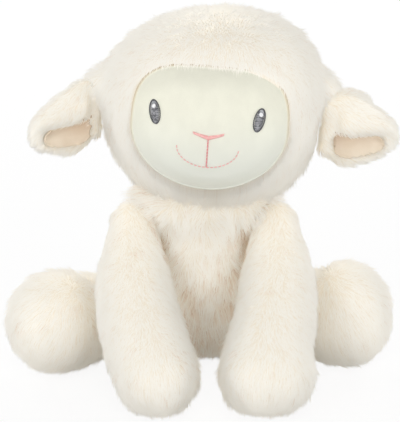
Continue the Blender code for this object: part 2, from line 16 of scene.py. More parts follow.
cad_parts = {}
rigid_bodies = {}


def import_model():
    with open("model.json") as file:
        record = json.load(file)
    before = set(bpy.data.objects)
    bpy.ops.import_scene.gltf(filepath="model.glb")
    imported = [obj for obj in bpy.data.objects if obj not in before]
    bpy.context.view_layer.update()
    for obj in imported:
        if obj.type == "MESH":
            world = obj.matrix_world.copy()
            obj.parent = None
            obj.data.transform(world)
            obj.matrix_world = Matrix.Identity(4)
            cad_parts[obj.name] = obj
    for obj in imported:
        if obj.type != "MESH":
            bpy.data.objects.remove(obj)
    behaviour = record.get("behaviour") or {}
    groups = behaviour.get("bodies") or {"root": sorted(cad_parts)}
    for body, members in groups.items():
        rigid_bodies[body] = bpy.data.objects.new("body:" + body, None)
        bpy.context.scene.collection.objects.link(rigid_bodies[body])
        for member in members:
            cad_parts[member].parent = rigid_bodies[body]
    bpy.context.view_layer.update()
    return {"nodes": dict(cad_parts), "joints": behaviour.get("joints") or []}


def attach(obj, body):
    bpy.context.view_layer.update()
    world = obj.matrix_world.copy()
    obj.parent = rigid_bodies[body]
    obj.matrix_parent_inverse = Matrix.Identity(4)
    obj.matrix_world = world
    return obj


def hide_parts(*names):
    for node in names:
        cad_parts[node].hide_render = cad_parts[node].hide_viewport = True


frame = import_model()

MM = 0.001
SIDES = (("left", -1), ("right", 1))
JOINT_PLACE = {joint["name"]: Vector(joint["pos_m"]) for joint in frame["joints"]}

# The face's curve, as the CAD panel has it
FACE_HALF = np.array((62, 44, 53)) * MM
OPENING_HALF = np.array((52, 42)) * MM
BROW_SQUARENESS = 3.0
CHIN_SQUARENESS = 2.0
HEAD_ROLL = math.radians(4)
HEAD_TURN = math.radians(-2)
HEAD_MIDDLE = Vector((0, -5, 63)) * MM
FACE_MIDDLE = Vector((0, -24, -6)) * MM
FACE = (
    Matrix.Translation(JOINT_PLACE["head_turn"])
    @ Matrix.Rotation(HEAD_ROLL, 4, "Y")
    @ Matrix.Translation(HEAD_MIDDLE)
    @ Matrix.Rotation(HEAD_TURN, 4, "Z")
    @ Matrix.Translation(FACE_MIDDLE)
)
FACE_AXES = np.array(FACE.to_3x3())
FACE_ORIGIN = np.array(FACE.translation)

# Skins: what the pile grows on. Each lies below its CAD cover by about the height of the pile, in millimetres.
PILE_HEIGHT = 5.2
SWELL_LIMIT = 3 * MM
SWELL_FRAMES = 20
SWELL_PRESSURE = 4

# Pile
STRAND_RADIUS = 0.19 * MM
MOST_STRANDS = 19900        # to a piece
GROUND_CLEAR = 0.4 * MM
FIRST_LIFT = math.radians(44)
LAST_LIFT = math.radians(15)
TUFT_SPACING = 4.2 * MM
TUFT_PULL = 0.3
UNDER_SHARE = 1.0           # how far the under side of a strand is lit from where it looks, not as the skin
HOOD_FRONT = -10 * MM       # in the frame of the face: pile further back doesn't border on the velour
POCKET_EDGE = 1.6 * MM      # no pile grows nearer to an ear's lining
HIDDEN_SHARE = 0.22         # of the strands stay where the skin is nearly hidden
OPEN_SHARE = 0.35           # openness from which all of them stay
LEAST_OPEN = 0.06
LEAST_ROOM = 3.5 * MM
# Where the paws and the feet point the pile, in millimetres
PAWS = {"left": (-30, -124, 30), "right": (36, -124, 30)}
FEET = {"left": (-102.5, -42, 35), "right": (99, -30, 35)}
# How open the skin of a body lies where its pile no longer gets painted shade, and the same for arms, legs and tail
OPEN_UNSHADED = {"torso": 0.8, "head": 0.35, "ear_left": 0.2, "ear_right": 0.2}
OPEN_LIMB_UNSHADED = 0.65


def worked_out(operation):
    return lambda wire, other: wire.finish.node("ShaderNodeMath", {"operation": operation}, {0: wire, 1: other})


class Wire:
    """A node's output that can stand in a sum, a product or a power."""

    def __init__(self, finish, socket):
        self.finish = finish
        self.socket = socket

    __add__ = __radd__ = worked_out("ADD")
    __mul__ = __rmul__ = worked_out("MULTIPLY")
    __pow__ = worked_out("POWER")


class Finish:
    """A material round one Principled shader."""

    def __init__(self, name, roughness, **constants):
        self.material = bpy.data.materials.new(name)
        self.material.use_nodes = True
        self.tree = self.material.node_tree
        self.shader = self.tree.nodes["Principled BSDF"]
        self.feed("Roughness", roughness)
        for socket, value in constants.items():
            self.shader.inputs[socket.replace("_", " ")].default_value = value

    def node(self, kind, settings=None, sockets=None, output=0):
        """A new node: its settings, then the value or link of each of its sockets."""
        node = self.tree.nodes.new(kind)
        for key, value in (settings or {}).items():
            setattr(node, key, value)
        for key, value in (sockets or {}).items():
            if isinstance(value, Wire):
                self.tree.links.new(value.socket, node.inputs[key])
            else:
                node.inputs[key].default_value = value
        return Wire(self, node.outputs[output])

    def feed(self, socket, value):
        if isinstance(value, Wire):
            self.tree.links.new(value.socket, self.shader.inputs[socket])
        else:
            self.shader.inputs[socket].default_value = value

    def places(self):
        return self.node("ShaderNodeTexCoord", output="Object")

    def noise(self, size, detail=3, stretch=(1, 1, 1), rough=0.55):
        """Noise whose grains are about this size, between 0 and 1."""
        spread = self.node(
            "ShaderNodeVectorMath", {"operation": "MULTIPLY"}, {0: self.places(), 1: tuple(1 / s for s in stretch)}
        )
        return self.node(
            "ShaderNodeTexNoise", {"noise_dimensions": "3D"},
            {"Vector": spread, "Scale": 1 / size, "Detail": detail, "Roughness": rough},
        )

    def ease(self, value, low, high):
        """0 below low, 1 above high, eased between."""
        return self.node(
            "ShaderNodeMapRange", {"interpolation_type": "SMOOTHSTEP"},
            {"Value": value, "From Min": low, "From Max": high},
        )

    def blend(self, share, first, second):
        """From the first colour to the second by the share."""
        colours = [(*c, 1) if isinstance(c, tuple) else c for c in (first, second)]
        return self.node(
            "ShaderNodeMix", {"data_type": "RGBA"}, {0: share, 6: colours[0], 7: colours[1]}, output=2
        )

    def bump(self, height, distance, strength=1.0):
        bumped = self.node(
            "ShaderNodeBump", None, {"Height": height, "Distance": distance, "Strength": strength}, "Normal"
        )
        self.feed("Normal", bumped)


def pile_finish():
    """Long pile: paler from root to tip along the strand's map, as painted shade deep in the pile, and from tan to
    cream by its tone and painted crevice shade, the map's X.
    """
    finish = Finish("long_pile", 0.9, Sheen_Weight=0.1, Sheen_Roughness=0.5, Specular_IOR_Level=0.25)
    along_map = finish.node("ShaderNodeUVMap", {"uv_map": "OFBake"})
    split = finish.node("ShaderNodeSeparateXYZ", None, {0: along_map})
    along = Wire(finish, split.socket.node.outputs["Y"])
    # Darker towards the root: painted shade deep in the pile
    light = finish.blend(finish.ease(along, 0.0, 0.6), (0.95, 0.89, 0.77), (0.98, 0.945, 0.86))
    # Tan for the pile's warmer tone and for painted shade in creases
    warm_and_shaded = finish.blend(finish.ease(along, 0.0, 0.8), (0.60, 0.40, 0.25), (0.82, 0.63, 0.46))
    finish.feed("Base Color", finish.blend(finish.ease(split, -0.1, 0.56), warm_and_shaded, light))
    return finish.material


def backing_finish():
    """The knitted backing under the pile."""
    finish = Finish("backing_cloth", 0.92)
    speckle = finish.noise(0.8 * MM)
    colour = finish.blend(speckle, (0.84, 0.76, 0.62), (0.92, 0.85, 0.72))
    finish.feed("Base Color", colour)
    finish.bump(speckle, 0.2 * MM)
    return finish.material


def velour_finish(name, dark, pale, *shades):
    """Short smooth nap, a little uneven where it has been stroked.

    Each shade is a function for its share and a tint.
    """
    finish = Finish(name, 0.8, Sheen_Weight=0.25, Sheen_Roughness=0.35)
    nap = finish.noise(0.45 * MM, 2, (1, 1, 2.2))
    strokes = finish.noise(9 * MM, 2, (1, 1, 1.6))
    share = nap * 0.35 + strokes * 0.65
    colour = finish.blend(finish.ease(share, 0.3, 0.7), dark, pale)
    for share_of, tint in shades:
        colour = finish.blend(share_of(finish), colour, tint)
    finish.feed("Base Color", colour)
    finish.bump(nap, 0.12 * MM, 0.6)
    return finish.material


def painted_lower_shade(finish):
    """Painted shade, growing from the brow down to the chin."""
    height = finish.node("ShaderNodeSeparateXYZ", None, {0: finish.places()}, output="Z")
    return finish.ease(height, 200 * MM, 145 * MM)


def painted_seam_shadow(finish):
    """Painted shadow in the seam round the opening, under the overhanging pile: darkest at the brow, and faint at the
    chin.
    """
    from_middle = finish.node(
        "ShaderNodeVectorMath", {"operation": "SUBTRACT"}, {0: finish.places(), 1: tuple(FACE_ORIGIN)}
    )
    across, up = (
        finish.node(
            "ShaderNodeVectorMath", {"operation": "DOT_PRODUCT"},
            {0: from_middle, 1: tuple(FACE_AXES[:, axis] / half)}, output="Value",
        )
        for axis, half in ((0, OPENING_HALF[0]), (2, OPENING_HALF[1]))
    )
    above = finish.ease(up, -0.01, 0.01)
    power = CHIN_SQUARENESS + above * (BROW_SQUARENESS - CHIN_SQUARENESS)
    root = 1 / CHIN_SQUARENESS + above * (1 / BROW_SQUARENESS - 1 / CHIN_SQUARENESS)
    shares = [finish.node("ShaderNodeMath", {"operation": "ABSOLUTE"}, {0: along}) ** power for along in (across, up)]
    return finish.ease((shares[0] + shares[1]) ** root, 0.955, 0.99) * (0.25 + finish.ease(up, -0.8, 0.9) * 0.75)


def painted_pocket_shade(finish):
    """Painted shade, darkest near the head and under the fold. The right pocket lies lower than the left one."""
    sideways = finish.node("ShaderNodeSeparateXYZ", None, {0: finish.places()})
    upward = Wire(finish, sideways.socket.node.outputs["Z"])
    outward = finish.node("ShaderNodeMath", {"operation": "ABSOLUTE"}, {0: sideways})
    shade_under_fold = finish.ease(upward + sideways * 0.0485, 155 * MM, 171 * MM)
    return finish.ease(outward, 120 * MM, 84 * MM) * 0.45 + shade_under_fold * 0.55


def thread_finish(name, dark, pale, size, roughness=0.45):
    """Lustrous twisted thread, mottled along its run."""
    finish = Finish(name, roughness, Sheen_Weight=0.1)
    mottle = finish.noise(size, 2, (2.5, 1, 1), 0.6)
    finish.feed("Base Color", finish.blend(finish.ease(mottle, 0.38, 0.62), dark, pale))
    finish.bump(finish.noise(0.16 * MM, 2), 0.04 * MM, 0.5)
    return finish.material


def filling_finish(name, dark, pale, size):
    """Loose fibre or coarse cloth, for the pieces held inside."""
    finish = Finish(name, 0.95)
    grain = finish.noise(size, 5, (1, 1.6, 1), 0.7)
    finish.feed("Base Color", finish.blend(grain, dark, pale))
    finish.bump(grain, 0.6 * MM)
    return finish.material


FINISHES = {
    "pile": pile_finish(),
    "backing": backing_finish(),
    "face": velour_finish(
        "face_velour", (0.745, 0.735, 0.62), (0.79, 0.78, 0.66),
        # Painted shade on the lower face, and a painted shadow in the seam round it
        (painted_lower_shade, (0.69, 0.71, 0.65)), (painted_seam_shadow, (0.56, 0.45, 0.30)),
    ),
    "lining": velour_finish(
        # Painted shade in the pocket, under the fold and near the head
        "ear_velour", (0.74, 0.65, 0.52), (0.82, 0.74, 0.62), (painted_pocket_shade, (0.50, 0.37, 0.26))
    ),
    "eye": thread_finish("eye_satin", (0.10, 0.10, 0.11), (0.36, 0.36, 0.38), 1.1 * MM),
    "rim": thread_finish("eye_rim", (0.04, 0.04, 0.048), (0.10, 0.10, 0.11), 1.2 * MM),
    "shine": thread_finish("shine_satin", (0.80, 0.80, 0.81), (0.93, 0.93, 0.94), 0.8 * MM),
    "glint": thread_finish("glint_satin", (0.38, 0.39, 0.41), (0.56, 0.57, 0.59), 0.8 * MM),
    "nose": thread_finish("nose_satin", (0.80, 0.40, 0.39), (0.90, 0.53, 0.50), 1.0 * MM),
    "lip": thread_finish("lip_thread", (0.72, 0.26, 0.27), (0.83, 0.38, 0.38), 1.0 * MM),
    "smile": thread_finish("smile_thread", (0.78, 0.40, 0.38), (0.86, 0.50, 0.47), 1.0 * MM),
    "fibre": filling_finish("fibre_filling", (0.74, 0.73, 0.70), (0.88, 0.88, 0.86), 2.2 * MM),
    "bag": filling_finish("pellet_bag_cloth", (0.50, 0.48, 0.43), (0.66, 0.63, 0.57), 1.2 * MM),
    "thread": thread_finish("closing_thread", (0.68, 0.62, 0.50), (0.80, 0.75, 0.64), 1.0 * MM),
}


def select_only(piece):
    bpy.ops.object.select_all(action="DESELECT")
    piece.select_set(True)
    bpy.context.view_layer.objects.active = piece


def linked(name, data):
    """A new object in the scene."""
    item = bpy.data.objects.new(name, data)
    bpy.context.scene.collection.objects.link(item)
    return item


def dress(piece, finish, slot, body, *replaced):
    piece.data.materials.clear()
    piece.data.materials.append(FINISHES[finish])
    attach(piece, body)
    if replaced:
        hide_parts(*replaced)
    return piece


def apply_modifier(piece, kind, **settings):
    step = piece.modifiers.new(kind.lower(), kind)
    for key, value in settings.items():
        setattr(step, key, value)
    select_only(piece)
    bpy.ops.object.modifier_apply(modifier=step.name)


def remesh(piece, voxel):
    apply_modifier(piece, "REMESH", mode="VOXEL", voxel_size=voxel)
    keep_outside(piece)


def smooth(piece, times):
    apply_modifier(piece, "SMOOTH", factor=0.5, iterations=times)


def keep_outside(piece):
    """Leaves only the largest closed form, without the hollows inside it."""
    bm = bmesh.new()
    bm.from_mesh(piece.data)
    seen = set()
    islands = []
    for start in bm.verts:
        if start in seen:
            continue
        island = [start]
        seen.add(start)
        for vertex in island:
            for edge in vertex.link_edges:
                other = edge.other_vert(vertex)
                if other not in seen:
                    seen.add(other)
                    island.append(other)
        islands.append(island)
    islands.sort(key=len)
    for island in islands[:-1]:
        bmesh.ops.delete(bm, geom=island, context="VERTS")
    bm.to_mesh(piece.data)
    bm.free()


def copy_of(name, nodes, fuller=()):
    """One piece out of welded copies of CAD nodes, with rounded fillings added where the cloth is fuller."""
    bm = bmesh.new()
    for node in nodes:
        bm.from_mesh(frame["nodes"][node].data)
    bmesh.ops.remove_doubles(bm, verts=bm.verts, dist=0.001 * MM)
    for middle, half in fuller:
        place = Matrix.Translation(Vector(middle) * MM) @ Matrix.Diagonal((*(Vector(half) * MM), 1))
        bmesh.ops.create_uvsphere(bm, u_segments=32, v_segments=20, radius=1, matrix=place)
    mesh = bpy.data.meshes.new(name)
    bm.to_mesh(mesh)
    bm.free()
    return linked(name, mesh)


def triples(items, name, kind=np.float32):
    """What three numbers each item has under a name, as rows."""
    values = np.empty(len(items) * 3, kind)
    items.foreach_get(name, values)
    return values.reshape(-1, 3)


def places_of(mesh):
    return triples(mesh.vertices, "co").astype(float)


def inset_copy(name, nodes, voxel, inset, fuller=()):
    """A closed form that lies below the outside of the CAD nodes by the inset."""
    piece = copy_of(name, nodes, fuller)
    remesh(piece, voxel)
    smooth(piece, 2)
    apply_modifier(piece, "DISPLACE", direction="NORMAL", mid_level=0, strength=-inset)
    remesh(piece, voxel)
    smooth(piece, 3)
    return piece


def swell(pieces):
    """Fills the skins by pressure as cloth, and limits how far they move."""
    starts = [places_of(piece.data) for piece in pieces]
    for piece in pieces:
        cloth = piece.modifiers.new("cloth", "CLOTH")
        cloth.settings.use_pressure = True
        cloth.settings.uniform_pressure_force = SWELL_PRESSURE
        cloth.settings.effector_weights.gravity = 0
    for number in range(1, SWELL_FRAMES + 1):
        bpy.context.scene.frame_set(number)
    for piece, start in zip(pieces, starts):
        select_only(piece)
        bpy.ops.object.modifier_apply(modifier="cloth")
        move = places_of(piece.data) - start
        reach = np.linalg.norm(move, axis=1, keepdims=True)
        move *= np.minimum(1, SWELL_LIMIT / np.maximum(reach, 1e-9))
        piece.data.vertices.foreach_set("co", (start + move).astype(np.float32).ravel())
        piece.data.update()
    bpy.context.scene.frame_set(1)


def tree_of(piece):
    mesh = piece.data
    return BVHTree.FromPolygons([v.co.copy() for v in mesh.vertices], [tuple(f.vertices) for f in mesh.polygons])


def give_way(piece, others, clear):
    """Moves a skin out of its neighbours, as a stuffed cover gives way where it is pressed."""
    trees = [tree_of(other) for other in others]
    for _ in range(3):
        for vertex in piece.data.vertices:
            for tree in trees:
                place, normal, _, _ = tree.find_nearest(vertex.co)
                if (vertex.co - place).dot(normal) < clear:
                    vertex.co = place + normal * clear


# Middles and half sizes, in millimetres, of what makes the skins fuller: shoulders, chest, tail's root, ears' roots,
# right ear, feet and right paw
FULLER = {
    "torso": (((1, -13, 113), (52, 37, 27)), ((0, -17, 88), (38, 32, 34))),
    "tail": (((0, 58, 40), (14, 19, 14)),),
    "head": (((-68, -9, 195), (16, 13, 17)), ((79, -8, 191), (19, 12, 17))),
    "ear_right": (((97, -14, 180), (18, 8.5, 15.5)),),
    "leg_left": (((-100, -42, 38), (37, 35, 37)),),
    "leg_right": (((96.5, -30, 43.5), (34, 33, 34)),),
    "arm_right": (((43, -118, 31), (31, 31, 29)),),
}


def make_skins():
    """The skins of the ten soft bodies, by name."""
    skins = {}
    # Body, CAD nodes, voxel and inset in millimetres
    plan = [
        ("torso", ["torso_cover", "torso_stuffing", "seat_pellet_bag"], 4, PILE_HEIGHT),
        ("head", ["head_cover", "head_stuffing", "face_panel"], 4, PILE_HEIGHT),
        ("neck", ["neck_stuffing"], 4, 4),
        ("tail", ["tail"], 3, 5),
    ]
    for side, _ in SIDES:
        for limb in ("arm", "leg"):
            body = f"{limb}_{side}"
            plan.append((body, [f"{body}_cover", f"{body}_stuffing"], 4, PILE_HEIGHT))
        plan.append((f"ear_{side}", [f"ear_{side}_cover"], 2, 2.6))
    for body, nodes, voxel, inset in plan:
        skin = inset_copy(f"{body}_skin", nodes, voxel * MM, inset * MM, FULLER.get(body, ()))
        skins[body] = skin
    give_way(skins["torso"], [skins["head"], skins["arm_left"], skins["arm_right"]], 2 * MM)
    swell([skins[body] for body in skins if not body.startswith("ear")])
    for body, skin in skins.items():
        apply_modifier(skin, "SUBSURF", levels=1, render_levels=1)
        skin.data.shade_smooth()
        if body == "neck":
            dress(skin, "fibre", "fibre", body, "neck_stuffing")
        else:
            dress(skin, "backing", "plush", body, "tail" if body == "tail" else f"{body}_cover")
    return skins


def make_fillings():
    """Stuffing and pellet bag, as lumpy closed forms inside the skins."""
    plan = [("torso", 5), ("head", 5)]
    plan += [(f"{limb}_{side}", 4) for limb in ("arm", "leg") for side, _ in SIDES]
    for body, voxel in plan:
        filling = inset_copy(f"{body}_filling", [f"{body}_stuffing"], voxel * MM, 1 * MM)
        filling.data.shade_smooth()
        dress(filling, "fibre", "fibre", body, f"{body}_stuffing")
    bag = inset_copy("pellet_bag", ["seat_pellet_bag"], 3 * MM, 0.5 * MM)
    bag.data.shade_smooth()
    dress(bag, "bag", "bag", "torso", "seat_pellet_bag")


def face_point(across, up, lift=0.0):
    """A point on the velour's front, in the frame of the face, raised by the lift."""
    x_share = across / (FACE_HALF[0] + lift)
    z_share = up / (FACE_HALF[2] + lift)
    depth = (FACE_HALF[1] + lift) * math.sqrt(max(1 - x_share ** 2 - z_share ** 2, 0))
    return Vector((across, -(depth - pulled_in(across, up)), up))


def how_far_out(across, up):
    """1 at the opening's edge, and less inside it."""
    power = np.where(up > 0, BROW_SQUARENESS, CHIN_SQUARENESS)
    return (np.abs(across / OPENING_HALF[0]) ** power + np.abs(up / OPENING_HALF[1]) ** power) ** (1 / power)


def pulled_in(across, up):
    """How far the stitches, and the seam round the edge, pull the velour in at a place."""
    out = how_far_out(across, up)
    depth = SEAM_FALL * max(0, (out - SEAM_START) / (1 - SEAM_START)) ** 2
    for x, z, reach, pull in PULLS:
        depth += pull * math.exp(-((across - x) ** 2 + (up - z) ** 2) / reach ** 2)
    return depth


SEAM_FALL = 5.5 * MM
SEAM_START = 0.68           # of the way to the opening's edge
EYE_ACROSS = {-1: 35.7 * MM, 1: 31.8 * MM}
EYE_UP = 11 * MM
EYE_HALF_WIDTH = 3.45 * MM
EYE_HALF_HEIGHT = 7.3 * MM
EYE_LEAN = math.radians(10)
NOSE_UP = 1.6 * MM
NOSE_HALF_WIDTH = 9.8 * MM
NOSE_DEPTH = 2.7 * MM
NOSE_BEND_POWER = 1.2
LIP_LENGTH = 18.7 * MM
LIP_TOP = NOSE_UP - NOSE_DEPTH - 1.9 * MM
SMILE_HALF_WIDTH = 20 * MM
SMILE_RISE = 13.5 * MM
PULLS = (
    (-EYE_ACROSS[-1], EYE_UP - 1.5 * MM, 9.5 * MM, 1.3 * MM),
    (EYE_ACROSS[1], EYE_UP - 1.5 * MM, 9.5 * MM, 1.3 * MM),
    (0, LIP_TOP - 10 * MM, 6 * MM, 0.5 * MM),
    (0, NOSE_UP - 2 * MM, 8 * MM, 0.5 * MM),
)


def edge_of_opening(angle, inset=0.0):
    """A point on the opening's rounded outline, across and up."""
    across, up = math.cos(angle), math.sin(angle)
    power = 2 / (BROW_SQUARENESS if up > 0 else CHIN_SQUARENESS)
    return (
        (OPENING_HALF[0] - inset) * math.copysign(abs(across) ** power, across),
        (OPENING_HALF[1] - inset) * math.copysign(abs(up) ** power, up),
    )


FACE_SIDES = 128
FACE_RINGS = 96
ROLL_RADIUS = 1.8 * MM
FACE_THICK = 6.5 * MM
FRONT_END = 0.66            # of the way from the front's middle to the back's: there the roll of the rim starts
ROLL_END = 0.82
ROLL_TURN = 0.75 * math.pi


def make_face():
    """The velour face: a sphere shaped to the head's opening, its rim rolled in and its back closed behind."""
    bpy.ops.object.select_all(action="DESELECT")
    bpy.ops.mesh.primitive_uv_sphere_add(segments=FACE_SIDES, ring_count=FACE_RINGS, radius=1)
    face = bpy.context.object
    face.name = "face_velour_panel"
    for vertex in face.data.vertices:
        share = math.acos(max(-1, min(1, vertex.co.z))) / math.pi
        angle = math.atan2(vertex.co.y, vertex.co.x)
        edge = Vector(edge_of_opening(angle, ROLL_RADIUS + 0.2 * MM))
        outward = edge.normalized()
        if share <= FRONT_END:
            flat = edge * (share / FRONT_END)
            back = 0
        elif share <= ROLL_END:
            turn = (share - FRONT_END) / (ROLL_END - FRONT_END) * ROLL_TURN
            flat = edge + outward * ROLL_RADIUS * math.sin(turn)
            back = ROLL_RADIUS * (1 - math.cos(turn))
        else:
            flat = edge * (1 - share) / (1 - ROLL_END)
            back = FACE_THICK
        inner = edge * min(1, flat.length / edge.length)
        place = face_point(inner.x, inner.y) if share > FRONT_END else face_point(flat.x, flat.y)
        vertex.co = FACE @ Vector((flat.x, place.y + back, flat.y))
    face.data.shade_smooth()
    fix_normals(face)
    dress(face, "face", "velour", "head", "face_panel")


def fix_normals(piece):
    bm = bmesh.new()
    bm.from_mesh(piece.data)
    bmesh.ops.recalc_face_normals(bm, faces=bm.faces)
    bm.to_mesh(piece.data)
    bm.free()


def lay_thread(bm, points, radius, out, sides=6):
    """A round thread along points, closed at both ends, with its flat side away from out."""
    rings = []
    last = len(points) - 1
    for index, point in enumerate(points):
        ahead = (points[min(index + 1, last)] - points[max(index - 1, 0)]).normalized()
        wide = ahead.cross(out).normalized()
        high = wide.cross(ahead)
        narrow = 0.55 if index in (0, last) else 1
        ring = []
        for side in range(sides):
            turn = 2 * math.pi * side / sides
            ring.append(bm.verts.new(point + (wide * math.cos(turn) + high * math.sin(turn)) * radius * narrow))
        rings.append(ring)
    for low, high in zip(rings, rings[1:]):
        for side in range(sides):
            after = (side + 1) % sides
            bm.faces.new((low[side], low[after], high[after], high[side]))
    bm.faces.new(rings[0][::-1])
    bm.faces.new(rings[-1])


def satin(bm, start, end, radius, height, base=0.0):
    """One satin stitch over the velour: it comes up, arches over and goes down again."""
    points = []
    for share in (0, 0.12, 0.35, 0.65, 0.88, 1):
        across = start[0] + (end[0] - start[0]) * share
        up = start[1] + (end[1] - start[1]) * share
        arch = math.sin(math.pi * share) ** 0.6 * height if 0 < share < 1 else -2 * radius
        points.append(face_point(across, up, base + arch))
    out = (points[2] + points[3]).normalized()
    lay_thread(bm, points, radius, out)


def finish_threads(name, bm, finish, slot, *replaced):
    mesh = bpy.data.meshes.new(name)
    bmesh.ops.recalc_face_normals(bm, faces=bm.faces)
    bmesh.ops.transform(bm, matrix=FACE, verts=bm.verts)
    bm.to_mesh(mesh)
    bm.free()
    mesh.shade_smooth()
    return dress(linked(name, mesh), finish, slot, "head", *replaced)


def leaned(place, lean, across, up):
    """A point measured along and across a leaning patch."""
    return (
        place[0] + across * math.cos(lean) - up * math.sin(lean),
        place[1] + across * math.sin(lean) + up * math.cos(lean),
    )


def upright(bm, middle, half, *thread):
    """A satin stitch from below a place to above it."""
    satin(bm, (middle[0], middle[1] - half), (middle[0], middle[1] + half), *thread)


EYE_THREADS = 42
EYE_THREAD = 0.21 * MM
EYE_INSET = 0.3 * MM        # of the satin's ends from the rim
RIM_STITCHES = 34
SHINE_THREADS = 7
SHINE_HALF_WIDTH = 1.15 * MM
SHINE_HALF_HEIGHT = 1.6 * MM
SHINE_UP = 3.7 * MM
GLINT_THREADS = 4
GLINT_PITCH = 0.5 * MM
GLINT_HALF_HEIGHT = 0.9 * MM
GLINT_UP = 5.9 * MM
NOSE_THREADS = 52


def make_eyes():
    """Each eye: satin laid across it, a dark stitched rim, a white shine on it and a grey glint at its top."""
    rng = np.random.default_rng(11)
    for side, sign in SIDES:
        place = (sign * EYE_ACROSS[sign], EYE_UP)
        lean = -sign * EYE_LEAN
        bm = bmesh.new()
        for step in range(EYE_THREADS):
            share = 2 * (step + 0.5) / EYE_THREADS - 1
            half = (EYE_HALF_WIDTH - EYE_INSET) * math.sqrt(1 - share ** 2)
            up = share * (EYE_HALF_HEIGHT - EYE_INSET)
            slip = rng.uniform(-0.15, 0.15) * MM
            start = leaned(place, lean, -half, up + slip)
            end = leaned(place, lean, half, up - slip)
            satin(bm, start, end, EYE_THREAD, 0.55 * MM)
        finish_threads(f"eye_{side}_satin", bm, "eye", "eye_thread", f"eye_{side}")
        bm = bmesh.new()
        for step in range(RIM_STITCHES):
            turns = [2 * math.pi * (step + shift) / RIM_STITCHES for shift in (-0.62, 0.62)]
            ends = []
            for turn, grow in zip(turns, (0.97, 1.03)):
                ends.append(leaned(
                    place, lean, EYE_HALF_WIDTH * grow * math.cos(turn), EYE_HALF_HEIGHT * grow * math.sin(turn),
                ))
            satin(bm, *ends, 0.36 * MM, 0.45 * MM)
        finish_threads(f"eye_{side}_rim", bm, "rim", "eye_thread")
        bm = bmesh.new()
        for step in range(SHINE_THREADS):
            share = 2 * (step + 0.5) / SHINE_THREADS - 1
            half = SHINE_HALF_HEIGHT * math.sqrt(1 - share ** 2)
            middle = leaned(place, lean, 0.2 * MM * sign + share * SHINE_HALF_WIDTH, SHINE_UP)
            upright(bm, middle, half, 0.24 * MM, 0.7 * MM, 0.55 * MM)
        finish_threads(f"eye_{side}_shine", bm, "shine", "highlight_thread", f"eye_{side}_highlight")
        bm = bmesh.new()
        for step in range(GLINT_THREADS):
            middle = leaned(place, lean, (step - (GLINT_THREADS - 1) / 2) * GLINT_PITCH, GLINT_UP)
            upright(bm, middle, GLINT_HALF_HEIGHT, 0.2 * MM, 0.4 * MM, 0.5 * MM)
        finish_threads(f"eye_{side}_glint", bm, "glint", "highlight_thread")


def nose_line(share):
    """The V of the nose, from its left tip to its right one."""
    return NOSE_HALF_WIDTH * share, NOSE_UP + NOSE_DEPTH * (abs(share) ** NOSE_BEND_POWER - 1)


def make_nose():
    """Slanted satin stitches along a V, longest at its foot."""
    bm = bmesh.new()
    for step in range(NOSE_THREADS):
        share = 2 * (step + 0.5) / NOSE_THREADS - 1
        across, up = nose_line(share)
        half = (0.85 + 0.75 * (1 - abs(share)) ** 1.5) * MM
        slant = 0.35 * MM * math.copysign(1, -share)
        satin(bm, (across + slant, up - half), (across - slant, up + half), 0.24 * MM, 0.75 * MM)
    finish_threads("nose_satin", bm, "nose", "pink_thread", "nose_stitches")


def back_stitches(bm, line, length, stitch, gap, radius):
    """Separate stitches along a line, given as a function of the share along it."""
    walk = [Vector(line(step / 400)) for step in range(401)]
    reached = [0.0]
    for low, high in zip(walk, walk[1:]):
        reached.append(reached[-1] + (high - low).length)
    count = round(reached[-1] / (stitch + gap))
    pitch = reached[-1] / count
    for step in range(count):
        ends = [np.interp(pitch * (step + shift), reached, range(401)) for shift in (0, stitch / (stitch + gap))]
        start, end = (walk[min(400, round(place))] for place in ends)
        satin(bm, start, end, radius, length)


def make_mouth():
    """The lip in firm back stitches and the smile in finer, paler ones."""
    bm = bmesh.new()
    back_stitches(
        bm, lambda share: (0, LIP_TOP + 1.4 * MM - (LIP_LENGTH + 1.4 * MM) * share), 0.5 * MM, 1.75 * MM, 0.5 * MM,
        0.48 * MM,
    )
    finish_threads("lip_stitches", bm, "lip", "pink_thread", "mouth_stitches")
    bm = bmesh.new()

    def smile(share):
        turn = (2 * share - 1) * math.pi / 2
        return SMILE_HALF_WIDTH * math.sin(turn), LIP_TOP - LIP_LENGTH + SMILE_RISE * (1 - math.cos(turn))

    back_stitches(bm, smile, 0.42 * MM, 1.7 * MM, 0.95 * MM, 0.36 * MM)
    finish_threads("smile_stitches", bm, "smile", "pink_thread")


def make_linings():
    """Smooth velour in the ears' pockets."""
    for side, _ in SIDES:
        lining = copy_of(f"ear_{side}_velour", [f"ear_{side}_lining"])
        remesh(lining, 0.9 * MM)
        smooth(lining, 4)
        apply_modifier(lining, "DISPLACE", direction="NORMAL", mid_level=0, strength=0.25 * MM)
        lining.data.shade_smooth()
        dress(lining, "lining", "velour", f"ear_{side}", f"ear_{side}_lining")


def unit(vectors):
    return vectors / np.maximum(np.linalg.norm(vectors, axis=1, keepdims=True), 1e-9)


def ripple(places, size, seed):
    """Smooth unevenness between about -1 and 1, with waves of about this size."""
    rng = np.random.default_rng(seed)
    total = np.zeros(len(places))
    for _ in range(8):
        direction = rng.normal(size=3)
        direction *= 2 * math.pi * rng.uniform(0.7, 1.5) / (size * np.linalg.norm(direction))
        total += np.sin(places @ direction + rng.uniform(0, 2 * math.pi))
    return total / 4


